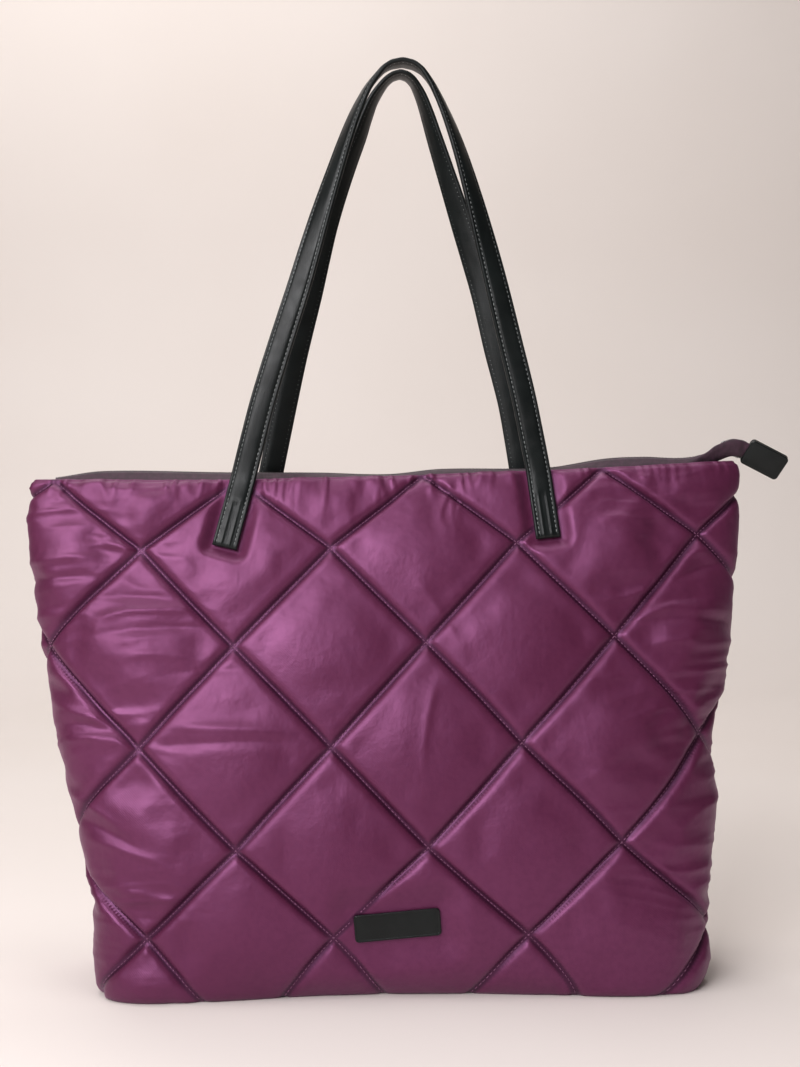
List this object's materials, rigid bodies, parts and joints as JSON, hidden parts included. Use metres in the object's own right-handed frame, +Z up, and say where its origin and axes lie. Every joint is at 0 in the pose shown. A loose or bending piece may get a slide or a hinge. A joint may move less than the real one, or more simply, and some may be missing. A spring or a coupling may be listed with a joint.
{
  "type": "puffer tote bag",
  "caption": "Quilted, padded zip-top tote bag with two standing leather handles, a zip tail with end tab, and a blank leather patch.",
  "frame": {"origin": "middle of the flat base, between the side seams and between front and back", "axes": "+Z up, +X towards the end with the zip's tail, -Y towards the front with the patch"},
  "size_m": [0.5039, 0.1431, 0.6045],
  "materials": {
    "nylon": "satin woven nylon over soft fill, quilted in diamonds",
    "zip_tape": "ribbed woven tape",
    "zip_coil": "nylon coil",
    "leather": "fine grained, soft sheen",
    "metal": "polished plating"
  },
  "bodies": {
    "root": {"front_panel": "nylon", "back_panel": "nylon", "zip_tape_front": "zip_tape", "zip_tape_back": "zip_tape", "zip_teeth": "zip_coil", "zip_end_tab": "leather", "zip_slider": "metal", "zip_pull": "metal", "front_handle": "leather", "back_handle": "leather", "label_patch": "leather"}
  },
  "joints": []
}
